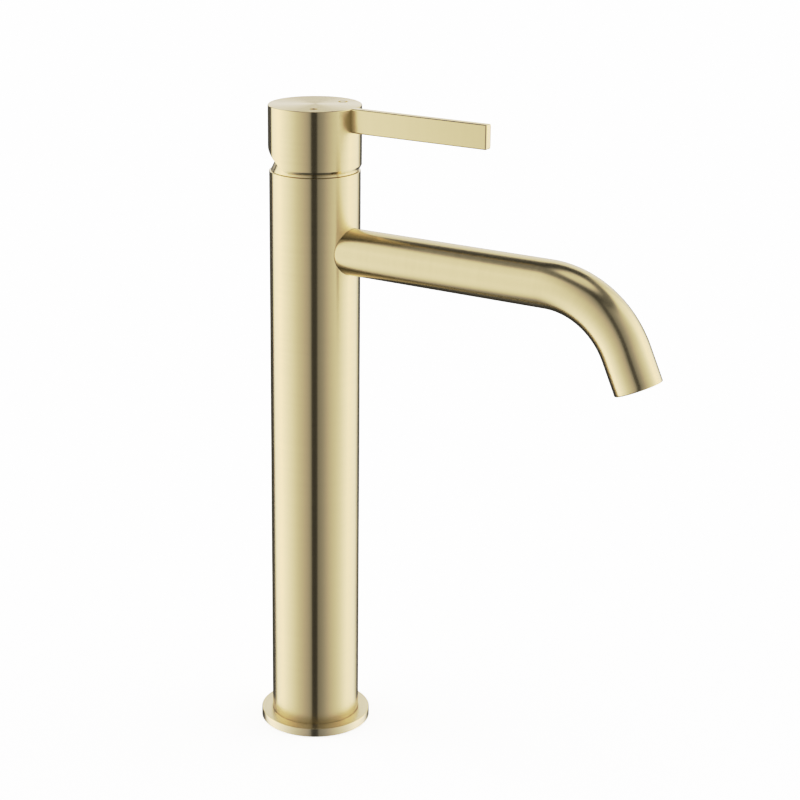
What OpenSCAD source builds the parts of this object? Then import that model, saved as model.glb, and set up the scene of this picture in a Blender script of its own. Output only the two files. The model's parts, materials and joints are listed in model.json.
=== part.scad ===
// Tall single-lever basin mixer: a round column, a fixed spout and a cap with a bar lever.
// Origin: centre of the column at the deck. +X runs along the spout and the lever, +Z is up.

/* [Column] */
// Outside diameter of the column
column_d = 45; // [44:0.5:60]
// Height of the column's top edge over the deck
column_h = 293.5; // [220:0.5:420]
// Wall of the column tube
column_wall = 2; // [1.5:0.1:2.2]
// Bevel on the column's top edge
column_bevel = 0.4; // [0.2:0.1:0.7]

/* [Base] */
// How far the base flange stands out round the column
flange_rim = 5.75; // [5:0.25:14]
// Height of the base flange
flange_h = 4.5; // [4:0.5:10]
// Bevel on the flange's outer edges
flange_bevel = 0.4; // [0.2:0.1:0.8]
// Height of the flange's inner lip, which the column stands on
flange_lip_h = 2; // [1.5:0.25:2.5]
// Width of the flat gasket under the flange
gasket_w = 2.6; // [2:0.1:3.5]
// Thickness of the flat gasket
gasket_h = 1.5; // [1:0.1:2]
// Height of the plug that closes the column's foot
plug_h = 32; // [30:1:60]
// Distance between the two supply inlets
inlet_pitch = 15; // [14.4:0.1:16]
// Distance of the inlets in front of the column's axis
inlet_x = 3; // [2.5:0.1:3.5]
// Radius of the inlet threads' core
inlet_r = 4.5; // [3.5:0.1:5]
// Depth of the inlet threads
inlet_depth = 13; // [8:0.5:14]
// Distance between the two mounting stud holes
stud_pitch = 26; // [24.5:0.5:30]
// Radius of the stud threads' core
stud_r = 2.5; // [1.6:0.1:3.3]
// Depth of the stud threads
stud_depth = 16; // [8:1:22]
// Outside diameter of the inner supply tubes
tube_d = 8; // [6:0.5:8.5]
// Wall of the inner supply tubes
tube_wall = 1; // [0.6:0.1:1.5]
// Depth to which a supply tube goes into its socket
tube_socket = 11; // [8:0.5:12]

/* [Spout] */
// Outside diameter of the spout
spout_d = 23; // [20:0.5:28]
// Wall of the spout
spout_wall = 1.5; // [1:0.1:2.5]
// Drop of the spout's axis below the column's top edge
spout_drop = 38.5; // [38:0.5:120]
// Distance from the column's axis to the start of the bend
spout_straight = 131; // [60:1:200]
// Radius of the bend, on the spout's axis
bend_r = 45; // [30:1:80]
// Angle of the bend
bend_angle = 66; // [30:1:90]
// Straight length after the bend
spout_end = 17; // [15:0.5:60]
// Depth of the aerator's face inside the spout's end
aerator_recess = 1; // [0.5:0.1:4]
// Length of the aerator's housing
aerator_h = 10; // [9:0.5:14]

/* [Handle] */
// How far the cap stands out past the column
cap_overhang = 0.5; // [0:0.1:3]
// Height of the cap
cap_h = 30.7; // [29:0.1:45]
// Gap between the column's top edge and the cap
cap_gap = 1.8; // [1.5:0.1:4]
// Wall of the cap
cap_wall = 1.5; // [1.2:0.1:1.6]
// Thickness of the cap's top
cap_top = 3; // [2:0.1:5]
// Height of the bevel on the cap's lower edge
cap_bevel_h = 1.2; // [0.6:0.1:1.5]
// Depth of the bevel on the cap's lower edge
cap_bevel_w = 0.6; // [0.3:0.1:0.8]
// Slope of the notch at the cap's back, which lets the lever tip up
notch_slope = 31.3; // [29:0.1:40]
// Height over the column's top edge where the notch would reach the column's axis
notch_rise = 0.7; // [0.4:0.1:1.2]
// Reach of the bar lever from the column's axis
blade_reach = 97.5; // [60:0.5:160]
// Height of the bar lever
blade_h = 11.8; // [6:0.1:20]
// Thickness of the bar lever
blade_w = 4.7; // [3:0.1:9]
// Bevel on the bar lever's edges
blade_bevel = 0.5; // [0.2:0.1:1]
// Largest lift of the lever
lift_max = 25; // [15:1:25]
// Largest turn of the lever to each side
mix_max = 50; // [30:1:55]
// Distance of the hot and cold marks from the cap's centre, along the lever
mark_x = 8; // [4:0.5:9]
// Distance of the hot and cold marks from the cap's centre, sideways
mark_y = 12.6; // [8:0.1:14]
// Radius of the marks
mark_r = 2.4; // [1.5:0.1:3]
// Depth of the marks
mark_depth = 0.4; // [0.2:0.1:1]
// Radius of the handle's set screw
screw_r = 2.4; // [1.5:0.1:3]
// Length of the handle's set screw
screw_l = 8; // [6:0.5:10]

/* [Cartridge] */
// Outside diameter of the ceramic cartridge
cartridge_d = 35; // [34:0.1:35.4]
// Height of the lever's pivot over the column's top edge
pivot_rise = 6.5; // [6.3:0.1:7]
// Radius of the pivot pin
pin_r = 1.5; // [1:0.1:2]
// Side of the square stem
stem_w = 8; // [6:0.1:8.4]
// Length of the stem's lower arm, from the pivot to the middle of its ball
stem_arm = 9.5; // [9:0.1:9.6]
// Radius of the stem's ball
ball_r = 3; // [2.6:0.1:3.2]
// Radius of the ceramic fixed disc
fixed_disc_r = 15.2; // [14:0.1:15.4]
// Radius of the ceramic moving disc
moving_disc_r = 11.3; // [10.8:0.1:11.3]
// Thickness of the ceramic fixed disc
fixed_disc_h = 4; // [3:0.1:5]
// Thickness of the ceramic moving disc
moving_disc_h = 3.5; // [3:0.1:4]
// Radius of the hot and cold water ways
way_r = 2.5; // [1.8:0.1:2.6]
// Radius of the mixed water way in the cartridge
mixed_way_r = 3; // [2.2:0.1:3.2]
// Distance of the mixed water way behind the column's axis
mixed_way_x = 5; // [4.5:0.1:5.5]
// Height of the cone of the trim ring
trim_h = 7; // [5.5:0.5:7.5]
// Slope of the trim ring's cone from upright
trim_slope = 25; // [20:1:28]
// Width of the column's rim left free outside the trim ring
trim_step = 0.8; // [0.8:0.1:1.2]

/* [Fits] */
// Clearance between pieces that are pushed or screwed into each other
fit = 0.1; // [0.05:0.01:0.15]
// Clearance of the pivot pin in the stem and of the sliding ceramic faces
running_fit = 0.05; // [0.02:0.01:0.1]
// Room between pieces that move past each other
play = 0.3; // [0.2:0.05:0.35]
// Thickness of the O-rings' section
o_ring_w = 1.3; // [1:0.1:1.5]

/* [Hidden] */
$fn = 96;

brass = [0.76, 0.70, 0.53];
bare_brass = [0.80, 0.66, 0.38];
copper = [0.78, 0.48, 0.33];
steel = [0.68, 0.69, 0.71];
ceramic = [0.93, 0.92, 0.88];
white_plastic = [0.90, 0.90, 0.87];
grey_plastic = [0.55, 0.57, 0.60];
rubber = [0.12, 0.12, 0.12];
cut = 0.5;

column_r = column_d / 2;
column_bore_r = column_r - column_wall;
flange_r = column_r + flange_rim;
gasket_mid_r = (column_r + flange_r) / 2;
plug_r = column_bore_r - fit;
tube_r = tube_d / 2;
tube_z0 = plug_h - tube_socket;
side_y = inlet_pitch / 2;

spout_r = spout_d / 2;
spout_bore_r = spout_r - spout_wall;
spout_z = column_h - spout_drop;
spout_seat_depth = 1.9;
spout_seat_x = column_bore_r - spout_seat_depth;
seal_inset = 5;
bend_step = 0.05;
outlet_x = spout_straight + bend_r * sin(bend_angle) + spout_end * cos(bend_angle);
outlet_z = spout_z - bend_r * (1 - cos(bend_angle)) - spout_end * sin(bend_angle);

nipple_x0 = 9.5;
nipple_shank_r = 7;
nipple_head_l = 15;
nipple_way_r = 4.5;

pivot_z = column_h + pivot_rise;
cartridge_r = cartridge_d / 2;
base_h = 5.5;
seat_depth = 34.5;
seat_z = pivot_z - seat_depth;
fixed_disc_z = seat_z + base_h;
moving_disc_z = fixed_disc_z + fixed_disc_h + running_fit;
carrier_z = moving_disc_z + moving_disc_h;
carrier_plate_h = 2.4;
slide_max = stem_arm * sin(lift_max);
ball_z = pivot_z - stem_arm;
socket_r = ball_r + fit;
carrier_top_z = ball_z + 1.5;
block_x = socket_r + 1.9;
block_y = 6;
shoulder_h = 2.2;
shoulder_z = pivot_z - 12;
housing_step = 3;
housing_r = cartridge_r - fit / 2;
housing_bore_r = moving_disc_r + slide_max + play;
chamber_r = cartridge_r + fit;
rotor_z = carrier_z + carrier_plate_h + play;
flange_top_z = shoulder_z - shoulder_h - play;
neck_r = 12.4;
neck_rise = 3.5;
neck_top_z = pivot_z + neck_rise;
lug_half = 8;
lug_w = 1.6;
arc_in_r = 5.6;
arc_out_r = 8.2;
arc_from = 12;
arc_to = 78;
recess_r = 5.1;
recess_out_r = 9.6;
recess_half = 42;
recess_depth = 2;
key_w = 2;
guide_pin_r = 1.4;
guide_pin_l = 3;
guide_pin_x = -3;
guide_pin_y = 13.5;
seal_w = 1.2;
seal_lip = 0.4;
seal_h = 1;

nut_r = cartridge_r + 1;
nut_bore_r = neck_r + 0.8;
nut_top_z = column_h + 4.3;
nut_slots = 6;
valve_r = column_bore_r - fit;
valve_z0 = spout_z - spout_r - 8;
valve_top_z = column_h - 0.2;
trim_r = column_r - trim_step;
trim_land_h = nut_top_z - column_h + 0.2;

cap_r = column_r + cap_overhang;
cap_bore_r = cap_r - cap_wall;
cap_z = column_h + cap_gap;
cap_top_z = cap_z + cap_h;
cap_edge = 0.4;
boss_r = 8.5;
boss_rise = 9.5;
boss_z = pivot_z + boss_rise;
stem_top_z = cap_top_z - cap_top - 3;
screw_rise = 5;
screw_z = boss_z + screw_rise;
hex_r = 1.4;
hex_depth = 3;
access_r = screw_r + 0.5;

// A round piece with a round hole through it, standing on z = 0.
module ring(outer, inner, height) {
    difference() {
        cylinder(r = outer, h = height);
        translate([0, 0, -cut]) cylinder(r = inner, h = height + 2 * cut);
    }
}

// An O-ring lying flat round the Z axis.
module o_ring(mid, width) {
    rotate_extrude() translate([mid, 0]) circle(d = width, $fn = 32);
}

// A drilled hole from z0 up to z1, standing at (x, y).
module drill(x, y, z0, z1, radius) {
    translate([x, y, z0]) cylinder(r = radius, h = z1 - z0);
}

// A drilled hole along X from x0 to x1 at height z.
module cross_drill(x0, x1, z, radius) {
    translate([x0, 0, z]) rotate([0, 90, 0]) cylinder(r = radius, h = x1 - x0);
}

// One copy on the hot side and one on the cold side.
module both_sides() {
    for (side = [-1, 1]) translate([inlet_x, side * side_y, 0]) children();
}

// Moves children to the spout's end: z = 0 is the end face and +Z points out of the mouth.
module at_outlet() {
    translate([outlet_x, 0, outlet_z]) rotate([0, 90 + bend_angle, 0]) children();
}

module column_tube() {
    color(brass) difference() {
        translate([0, 0, flange_lip_h])
        rotate_extrude() polygon([
            [column_bore_r, 0],
            [column_r, 0],
            [column_r, column_h - flange_lip_h - column_bevel],
            [column_r - column_bevel, column_h - flange_lip_h],
            [column_bore_r, column_h - flange_lip_h]
        ]);
        cross_drill(0, column_r + 5, spout_z, spout_r + fit);
    }
}

module base_flange() {
    color(brass) difference() {
        rotate_extrude() polygon([
            [plug_r + fit, 0],
            [flange_r, 0],
            [flange_r, flange_h - flange_bevel],
            [flange_r - flange_bevel, flange_h],
            [column_r + fit, flange_h],
            [column_r + fit, flange_lip_h],
            [plug_r + fit, flange_lip_h]
        ]);
        translate([0, 0, -cut])
            ring(gasket_mid_r + gasket_w / 2 + fit, gasket_mid_r - gasket_w / 2 - fit, gasket_h + cut);
    }
}

module base_gasket() {
    color(rubber) ring(gasket_mid_r + gasket_w / 2, gasket_mid_r - gasket_w / 2, gasket_h);
}

module base_plug() {
    color(bare_brass) difference() {
        cylinder(r = plug_r, h = plug_h);
        both_sides() {
            drill(0, 0, -cut, inlet_depth, inlet_r);
            drill(0, 0, 0, plug_h, tube_r - tube_wall);
            drill(0, 0, tube_z0, plug_h + cut, tube_r + fit);
            translate([0, 0, plug_h - seal_inset]) o_ring_groove();
        }
        for (side = [-1, 1]) drill(side * stud_pitch / 2, 0, -cut, stud_depth, stud_r);
    }
}

// The groove round a supply tube's socket that holds its O-ring.
module o_ring_groove() {
    translate([0, 0, -o_ring_w / 2 - fit]) cylinder(r = tube_r + o_ring_w + 2 * fit, h = o_ring_w + 2 * fit);
}

// A supply tube from the foot plug up into the valve body.
module supply_tube() {
    translate([0, 0, tube_z0]) ring(tube_r, tube_r - tube_wall, valve_z0 + tube_socket - tube_z0);
}

module hot_tube() {
    color(copper) translate([inlet_x, -side_y, 0]) supply_tube();
}

module cold_tube() {
    color(copper) translate([inlet_x, side_y, 0]) supply_tube();
}

module tube_o_rings() {
    color(rubber) both_sides() {
        for (z = [plug_h - seal_inset, valve_z0 + seal_inset])
            translate([0, 0, z]) o_ring(tube_r + o_ring_w / 2 + fit, o_ring_w);
    }
}

module valve_body() {
    color(bare_brass) difference() {
        translate([0, 0, valve_z0]) cylinder(r = valve_r, h = valve_top_z - valve_z0);
        drill(0, 0, seat_z, valve_top_z, chamber_r);
        drill(0, 0, shoulder_z - 0.5, valve_top_z + cut, nut_r + fit / 2);
        both_sides() {
            drill(0, 0, valve_z0 - cut, valve_z0 + tube_socket, tube_r + fit);
            drill(0, 0, valve_z0, seat_z + cut, way_r);
            translate([0, 0, valve_z0 + seal_inset]) o_ring_groove();
        }
        drill(-mixed_way_x, 0, spout_z, seat_z + cut, mixed_way_r);
        cross_drill(-mixed_way_x, nipple_x0 + cut, spout_z, way_r + 1.5);
        cross_drill(nipple_x0, spout_seat_x + cut, spout_z, nipple_shank_r + fit / 2);
        cross_drill(spout_seat_x, column_r, spout_z, spout_r + fit);
        for (side = [-1, 1])
            drill(guide_pin_x, side * guide_pin_y, seat_z - guide_pin_l - fit, seat_z + cut, guide_pin_r + fit);
    }
}

module spout_nipple() {
    head_r = spout_bore_r - fit;
    groove_r = spout_bore_r - o_ring_w - fit;
    color(bare_brass) difference() {
        translate([nipple_x0, 0, spout_z]) rotate([0, 90, 0]) rotate_extrude() polygon([
            [nipple_way_r, 0],
            [nipple_shank_r, 0],
            [nipple_shank_r, spout_seat_x - nipple_x0],
            [head_r, spout_seat_x - nipple_x0],
            [head_r, spout_seat_x - nipple_x0 + nipple_head_l],
            [nipple_way_r, spout_seat_x - nipple_x0 + nipple_head_l]
        ]);
        translate([spout_seat_x + nipple_head_l - seal_inset, 0, spout_z]) rotate([0, 90, 0])
            translate([0, 0, -o_ring_w / 2 - fit]) ring(spout_r, groove_r, o_ring_w + 2 * fit);
    }
}

module spout_o_ring() {
    color(rubber) translate([spout_seat_x + nipple_head_l - seal_inset, 0, spout_z]) rotate([0, 90, 0])
        o_ring(spout_bore_r - o_ring_w / 2 - fit / 2, o_ring_w);
}

// The spout's course as a solid rod: straight, bent and straight again. The bend is a hair
// thicker, so that both straight ends finish cleanly inside it.
module spout_rod(radius) {
    cross_drill(spout_seat_x, spout_straight + cut, spout_z, radius);
    translate([spout_straight, 0, spout_z - bend_r]) rotate([0, -90, 0]) rotate([90, 0, 0])
        rotate_extrude(angle = -bend_angle) translate([bend_r, 0]) circle(r = radius + bend_step);
    at_outlet() translate([0, 0, -spout_end - cut]) cylinder(r = radius, h = spout_end + cut);
}

module spout_tube() {
    color(brass) difference() {
        spout_rod(spout_r);
        spout_rod(spout_bore_r);
    }
}

module aerator_housing() {
    outer = spout_bore_r - fit;
    color(steel) at_outlet() translate([0, 0, -aerator_recess]) difference() {
        rotate_extrude() polygon([
            [outer - 2.4, 0],
            [outer, 0],
            [outer, -aerator_h],
            [outer - 1.4, -aerator_h],
            [outer - 1.4, -1.2],
            [outer - 2.4, -1.2]
        ]);
        for (turn = [0 : 60 : 300]) rotate([0, 0, turn])
            translate([outer - 0.9, -0.9, -1]) cube([2, 1.8, 2]);
    }
}

module aerator_core() {
    outer = spout_bore_r - 1.5 - 2 * fit;
    color(white_plastic) at_outlet() translate([0, 0, -aerator_recess - aerator_h]) difference() {
        cylinder(r = outer, h = 4);
        for (turn = [0 : 30 : 330]) rotate([0, 0, turn]) translate([outer - 2, 0, 1.5]) cylinder(r = 0.7, h = 3);
        for (turn = [0 : 60 : 300]) rotate([0, 0, turn]) translate([outer / 2, 0, -1]) cylinder(r = 0.8, h = 6);
        translate([0, 0, -1]) cylinder(r = 0.8, h = 6);
        translate([0, 0, -1]) ring(outer - 1, outer - 3, 3);
    }
}

module aerator_screen() {
    outer = spout_bore_r - 1.5 - 2 * fit;
    bar_w = 0.45;
    color(steel) at_outlet() translate([0, 0, -aerator_recess - 2.4]) {
        ring(outer, outer - 1, 0.8);
        intersection() {
            cylinder(r = outer - 0.5, h = 0.8);
            for (step = [-3 : 3]) {
                translate([step * outer / 4 - bar_w / 2, -outer, 0]) cube([bar_w, 2 * outer, 0.4]);
                translate([-outer, step * outer / 4 - bar_w / 2, 0.3]) cube([2 * outer, bar_w, 0.4]);
            }
        }
    }
}

module aerator_washer() {
    color(rubber) at_outlet() translate([0, 0, -aerator_recess - aerator_h - 1.6])
        ring(spout_bore_r - fit, spout_bore_r - 2.4, 1.6);
}

// One washer round each water way of the cartridge.
module way_seals(z) {
    both_sides() translate([0, 0, z]) ring(way_r + seal_lip + seal_w, way_r + seal_lip, seal_h);
    translate([-mixed_way_x, 0, z]) ring(mixed_way_r + seal_lip + seal_w, mixed_way_r + seal_lip, seal_h);
}

// The three water ways through the cartridge's base.
module ways(z0, z1) {
    both_sides() drill(0, 0, z0, z1, way_r);
    drill(-mixed_way_x, 0, z0, z1, mixed_way_r);
}

module cartridge_base() {
    color(white_plastic) difference() {
        union() {
            translate([0, 0, seat_z]) cylinder(r = housing_r, h = housing_step);
            translate([0, 0, seat_z]) cylinder(r = housing_bore_r - fit, h = base_h);
            for (side = [-1, 1])
                drill(guide_pin_x, side * guide_pin_y, seat_z - guide_pin_l, seat_z + cut, guide_pin_r);
        }
        ways(seat_z - cut, fixed_disc_z + cut);
        way_seals(seat_z);
        way_seals(fixed_disc_z - seal_h);
    }
}

module port_seals() {
    color(rubber) way_seals(seat_z);
}

module disc_seals() {
    color(rubber) way_seals(fixed_disc_z - seal_h);
}

module cartridge_housing() {
    color(grey_plastic) difference() {
        translate([0, 0, seat_z + housing_step]) cylinder(r = housing_r, h = shoulder_z - seat_z - housing_step);
        drill(0, 0, seat_z, shoulder_z - shoulder_h, housing_bore_r);
        drill(0, 0, seat_z, shoulder_z + cut, neck_r + play);
        // The window in which the rotor's lug stops the turn on each side.
        rotate([0, 0, 180 - mix_max - lug_half - 1])
            translate([0, 0, shoulder_z - shoulder_h - cut])
            rotate_extrude(angle = 2 * (mix_max + lug_half + 1))
            translate([neck_r - 2, 0]) square([2 + lug_w + play, shoulder_h + 2 * cut]);
    }
}

module fixed_disc() {
    color(ceramic) translate([0, 0, fixed_disc_z]) difference() {
        cylinder(r = fixed_disc_r, h = fixed_disc_h);
        for (side = [-1, 1])
            rotate([0, 0, side > 0 ? arc_from : -arc_to])
            translate([0, 0, -cut])
            rotate_extrude(angle = arc_to - arc_from)
            translate([arc_in_r, 0]) square([arc_out_r - arc_in_r, fixed_disc_h + 2 * cut]);
        drill(-mixed_way_x, 0, -cut, fixed_disc_h + cut, mixed_way_r);
    }
}

module moving_disc() {
    color(ceramic) translate([0, 0, moving_disc_z]) difference() {
        cylinder(r = moving_disc_r, h = moving_disc_h);
        translate([0, 0, -cut]) cylinder(r = recess_r, h = recess_depth + cut);
        rotate([0, 0, 180 - recess_half]) translate([0, 0, -cut])
            rotate_extrude(angle = 2 * recess_half) square([recess_out_r, recess_depth + cut]);
        for (side = [-1, 1])
            translate([-key_w / 2, side * moving_disc_r - key_w / 2, moving_disc_h - 1])
            cube([key_w, key_w, 2]);
    }
}

module disc_carrier() {
    color(grey_plastic) difference() {
        union() {
            translate([0, 0, carrier_z]) cylinder(r = moving_disc_r, h = carrier_plate_h);
            translate([-block_x, -block_y, carrier_z])
                cube([2 * block_x, 2 * block_y, carrier_top_z - carrier_z]);
            intersection() {
                translate([0, 0, carrier_z - 1 + fit]) cylinder(r = moving_disc_r, h = 2);
                for (side = [-1, 1])
                    translate([-key_w / 2 + fit, side * moving_disc_r - key_w / 2 + fit, carrier_z - 1 + fit])
                    cube([key_w - 2 * fit, key_w - 2 * fit, 2]);
            }
        }
        drill(0, 0, ball_z - ball_r - 1, carrier_top_z + cut, socket_r);
    }
}

// The slot in the rotor in which the stem tips: it stops the stem at rest and at full lift.
module stem_slot() {
    half = stem_w / 2 + play / 2;
    swing = (stem_w / 2) / cos(lift_max) + 5 * tan(lift_max) + play;
    translate([-half, -half, pivot_z - 8]) cube([half + swing, 2 * half, 9.5]);
    translate([-swing, -half, pivot_z - 1.5]) cube([half + swing, 2 * half, 8]);
}

module cartridge_rotor() {
    color(white_plastic) difference() {
        union() {
            translate([0, 0, rotor_z]) cylinder(r = housing_bore_r - play, h = flange_top_z - rotor_z);
            translate([0, 0, rotor_z]) cylinder(r = neck_r, h = neck_top_z - rotor_z);
            rotate([0, 0, 180 - lug_half]) translate([0, 0, flange_top_z - 1])
                rotate_extrude(angle = 2 * lug_half) translate([neck_r - 2, 0])
                square([2 + lug_w, shoulder_z - flange_top_z + 1 - play / 2]);
        }
        translate([-block_x - play, -block_y - play, rotor_z - cut])
            cube([2 * (block_x + play) + slide_max, 2 * (block_y + play), carrier_top_z + play - rotor_z + cut]);
        stem_slot();
        translate([0, neck_r + cut, pivot_z]) rotate([90, 0, 0]) cylinder(r = pin_r, h = 2 * (neck_r + cut));
    }
}

module pivot_pin() {
    length = 2 * neck_r - 1;
    color(steel) translate([0, length / 2, pivot_z]) rotate([90, 0, 0]) cylinder(r = pin_r, h = length);
}

module cartridge_stem() {
    foot_z = pivot_z - 4.5;
    color(bare_brass) difference() {
        union() {
            translate([-stem_w / 2, -stem_w / 2, foot_z]) cube([stem_w, stem_w, stem_top_z - foot_z]);
            translate([0, 0, ball_z]) cylinder(r = ball_r - 0.8, h = foot_z - ball_z + 1);
            translate([0, 0, ball_z]) sphere(r = ball_r);
        }
        translate([0, stem_w, pivot_z]) rotate([90, 0, 0]) cylinder(r = pin_r + running_fit, h = 2 * stem_w);
    }
}

module retaining_nut() {
    height = nut_top_z - shoulder_z;
    color(bare_brass) translate([0, 0, shoulder_z]) difference() {
        ring(nut_r, nut_bore_r, height);
        for (turn = [0 : 360 / nut_slots : 359]) rotate([0, 0, turn])
            translate([nut_r - 3, -1.5, height - 2]) cube([4, 3, 3]);
    }
}

module trim_ring() {
    land_r = nut_r + fit / 2;
    groove_r = trim_r - 2.5;
    color(brass) translate([0, 0, column_h]) difference() {
        rotate_extrude() polygon([
            [land_r, 0],
            [trim_r, 0],
            [trim_r - trim_h * tan(trim_slope), trim_h],
            [nut_bore_r, trim_h],
            [nut_bore_r, trim_land_h],
            [land_r, trim_land_h]
        ]);
        translate([0, 0, -cut]) ring(groove_r + o_ring_w + fit, groove_r - fit, o_ring_w + fit + cut);
    }
}

module trim_o_ring() {
    color(rubber) translate([0, 0, column_h + o_ring_w / 2])
        o_ring(trim_r - 2.5 + o_ring_w / 2, o_ring_w - fit);
}

// The cap's wall and top as one turned shape, before the notch, boss and bar are added.
module cap_shell() {
    rotate_extrude() polygon([
        [0, cap_top_z - cap_top],
        [cap_bore_r, cap_top_z - cap_top],
        [cap_bore_r, cap_z],
        [cap_r - cap_bevel_w, cap_z],
        [cap_r, cap_z + cap_bevel_h],
        [cap_r, cap_top_z - cap_edge],
        [cap_r - cap_edge, cap_top_z],
        [0, cap_top_z]
    ]);
}

// The bar lever, on edge, with its edges bevelled all round its section.
module blade() {
    translate([cap_r - cap_wall / 2, 0, cap_top_z - blade_h]) rotate([90, 0, 90])
        linear_extrude(blade_reach - cap_r + cap_wall / 2) polygon([
            [-blade_w / 2 + blade_bevel, 0],
            [blade_w / 2 - blade_bevel, 0],
            [blade_w / 2, blade_bevel],
            [blade_w / 2, blade_h - blade_bevel],
            [blade_w / 2 - blade_bevel, blade_h],
            [-blade_w / 2 + blade_bevel, blade_h],
            [-blade_w / 2, blade_h - blade_bevel],
            [-blade_w / 2, blade_bevel]
        ]);
}

// Everything under the sloping plane that lets the cap's back swing down.
module notch() {
    translate([0, 0, column_h + notch_rise]) rotate([0, notch_slope, 0])
        translate([-2 * cap_r, -2 * cap_r, -2 * cap_r]) cube([2 * cap_r + 8, 4 * cap_r, 2 * cap_r]);
}

module handle() {
    socket = stem_w + fit;
    color(brass) difference() {
        union() {
            cap_shell();
            translate([0, 0, boss_z]) cylinder(r = boss_r, h = cap_top_z - cap_top / 2 - boss_z);
            blade();
        }
        notch();
        translate([-socket / 2, -socket / 2, boss_z - cut]) cube([socket, socket, stem_top_z + fit - boss_z + cut]);
        cross_drill(-boss_r - 1, 0, screw_z, screw_r + fit / 2);
        cross_drill(-cap_r - 1, -cap_bore_r + 1, screw_z, access_r);
        // Hot mark: a filled dot. Cold mark: an open ring.
        translate([mark_x, -mark_y, cap_top_z - mark_depth]) cylinder(r = mark_r * 0.8, h = 1);
        translate([mark_x, mark_y, cap_top_z - mark_depth]) ring(mark_r, mark_r * 0.6, 1);
    }
}

module handle_screw() {
    x0 = -stem_w / 2 - screw_l;
    color(steel) difference() {
        cross_drill(x0, -stem_w / 2, screw_z, screw_r);
        translate([x0 - cut, 0, screw_z]) rotate([0, 90, 0]) cylinder(r = hex_r, h = hex_depth + cut, $fn = 6);
    }
}

module handle_screw_plug() {
    color(brass) intersection() {
        cross_drill(-cap_r - 1, -cap_bore_r + 0.5, screw_z, access_r - fit / 2);
        translate([0, 0, boss_z]) cylinder(r = cap_r, h = 20);
    }
}

column_tube();
base_flange();
base_gasket();
base_plug();
hot_tube();
cold_tube();
tube_o_rings();
valve_body();
spout_nipple();
spout_o_ring();
spout_tube();
aerator_housing();
aerator_core();
aerator_screen();
aerator_washer();
cartridge_base();
port_seals();
disc_seals();
cartridge_housing();
fixed_disc();
moving_disc();
disc_carrier();
cartridge_rotor();
pivot_pin();
cartridge_stem();
retaining_nut();
trim_ring();
trim_o_ring();
handle();
handle_screw();
handle_screw_plug();
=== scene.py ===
import json
from math import acos, atan2, ceil, cos, degrees, hypot, pi, radians, sin, sqrt, tan

import bmesh
import bpy
from mathutils import Matrix, Vector

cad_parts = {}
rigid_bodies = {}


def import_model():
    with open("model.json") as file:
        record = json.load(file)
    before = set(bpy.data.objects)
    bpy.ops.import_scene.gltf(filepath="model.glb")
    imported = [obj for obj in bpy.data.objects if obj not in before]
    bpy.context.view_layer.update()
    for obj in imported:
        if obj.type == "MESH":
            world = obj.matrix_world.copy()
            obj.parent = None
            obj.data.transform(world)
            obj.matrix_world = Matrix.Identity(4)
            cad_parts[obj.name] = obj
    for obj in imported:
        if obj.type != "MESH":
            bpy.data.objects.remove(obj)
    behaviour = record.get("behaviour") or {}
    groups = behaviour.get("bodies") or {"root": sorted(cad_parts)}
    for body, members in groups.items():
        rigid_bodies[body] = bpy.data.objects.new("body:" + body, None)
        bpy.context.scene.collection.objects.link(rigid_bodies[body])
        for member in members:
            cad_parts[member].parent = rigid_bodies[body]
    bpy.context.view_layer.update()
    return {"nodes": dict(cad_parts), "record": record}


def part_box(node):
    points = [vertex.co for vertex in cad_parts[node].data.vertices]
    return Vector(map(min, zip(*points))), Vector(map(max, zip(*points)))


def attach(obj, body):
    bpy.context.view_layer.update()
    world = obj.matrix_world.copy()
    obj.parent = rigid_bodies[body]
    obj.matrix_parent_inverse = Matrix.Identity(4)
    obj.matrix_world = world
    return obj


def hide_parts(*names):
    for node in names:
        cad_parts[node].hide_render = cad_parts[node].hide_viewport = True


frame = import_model()

# Sizes are in metres, in the frame of the CAD parts: the mixer stands on z = 0 and its spout points along +X.
MM = 0.001
TINY = 1e-7
# The steps round a large turned piece, and the angle from which an edge is shaded as sharp.
AROUND = 256
SHARP = radians(28)


# ---------------------------------------------------------------- node maths

# A Mix node repeats its socket names for each kind of data, so its colour sockets go by their place.
MIX_FIRST, MIX_SECOND = 6, 7
MIX_COLOUR = 2


class Value:
    """One node socket that takes part in Python expressions; each operation adds its Math node."""

    def __init__(self, tree, socket):
        self.tree = tree
        self.socket = socket

    def math(self, operation, *others, clamp=False):
        settings = {"operation": operation, "use_clamp": clamp}
        return self.tree.add("ShaderNodeMath", settings, dict(enumerate((self, *others))))

    def out(self, name):
        return Value(self.tree, self.socket.node.outputs[name])

    def __add__(self, other):
        return self.math("ADD", other)

    def __sub__(self, other):
        return self.math("SUBTRACT", other)

    def __rsub__(self, other):
        return self.tree.add("ShaderNodeMath", {"operation": "SUBTRACT"}, {0: other, 1: self})

    def __mul__(self, other):
        return self.math("MULTIPLY", other)

    def __truediv__(self, other):
        return self.math("DIVIDE", other)

    __radd__ = __add__
    __rmul__ = __mul__

    def step(self, start, end):
        """0 before start, 1 after end and smooth between them."""
        settings = {"interpolation_type": "SMOOTHSTEP"}
        sockets = {"Value": self, "From Min": start, "From Max": end}
        return self.tree.add("ShaderNodeMapRange", settings, sockets)


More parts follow.
